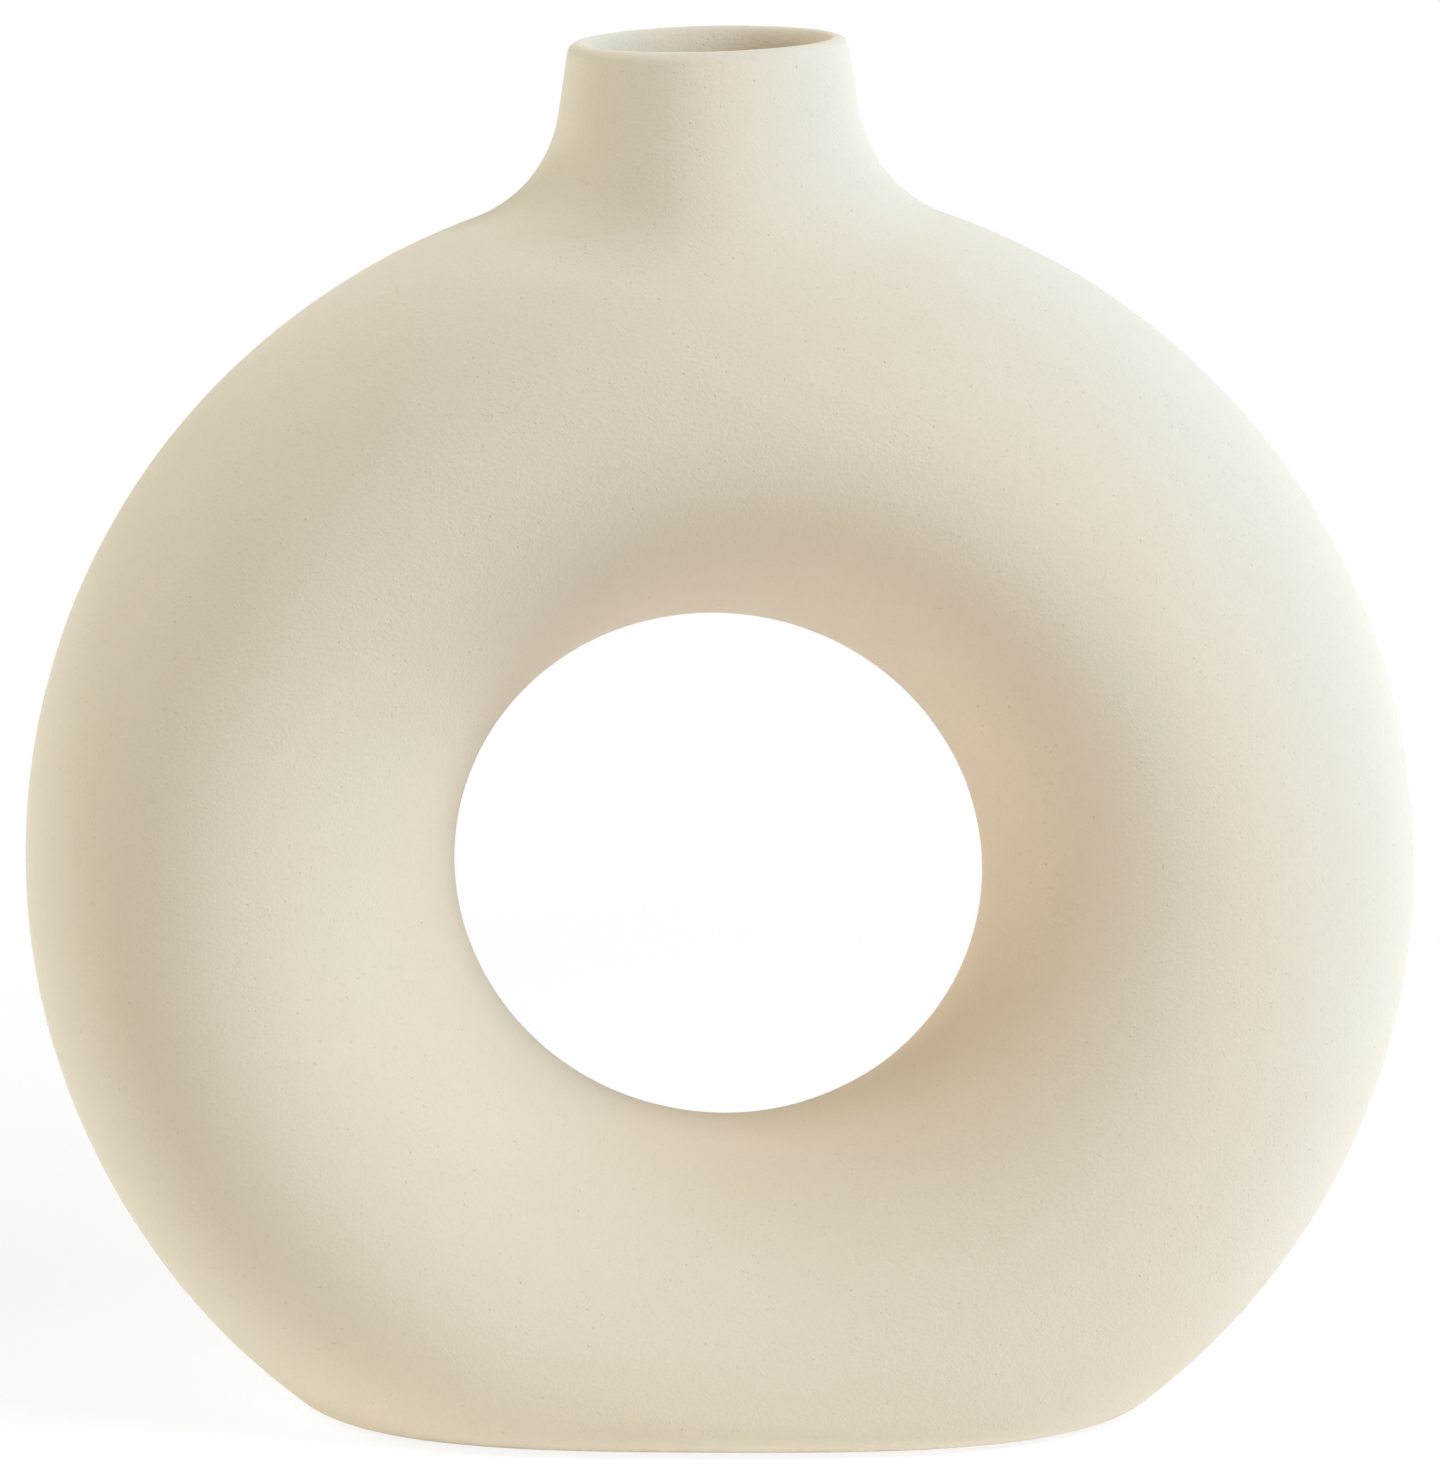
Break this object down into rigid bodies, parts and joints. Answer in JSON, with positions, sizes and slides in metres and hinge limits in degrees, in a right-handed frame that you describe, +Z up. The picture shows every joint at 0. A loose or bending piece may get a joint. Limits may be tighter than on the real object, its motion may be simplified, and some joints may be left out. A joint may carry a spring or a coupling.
{
  "type": "donut vase",
  "caption": "Matte cream stoneware flower vase: a hollow ring with a round hole through it, on a flat foot, with a short tapered neck on top that opens into the ring.",
  "frame": {"origin": "middle of the foot, on the surface that the vase stands on", "axes": "+Z up through the neck, +X across the ring, +Y from front to back along the axis of the hole"},
  "size_m": [0.22, 0.076, 0.2184],
  "materials": {
    "stoneware": "matte, unglazed, fine sandy grain",
    "slip": "matte, rubbed level with the clay",
    "glaze": "glossy cream glaze"
  },
  "bodies": {
    "root": {"front_shell": "stoneware", "rear_shell": "stoneware", "neck_collar": "stoneware", "foot_slab": "stoneware", "hole_seam_slip": "slip", "left_seam_slip": "slip", "right_seam_slip": "slip", "neck_seam_slip": "slip", "foot_seam_slip": "slip", "inner_glaze": "glaze"}
  },
  "joints": []
}
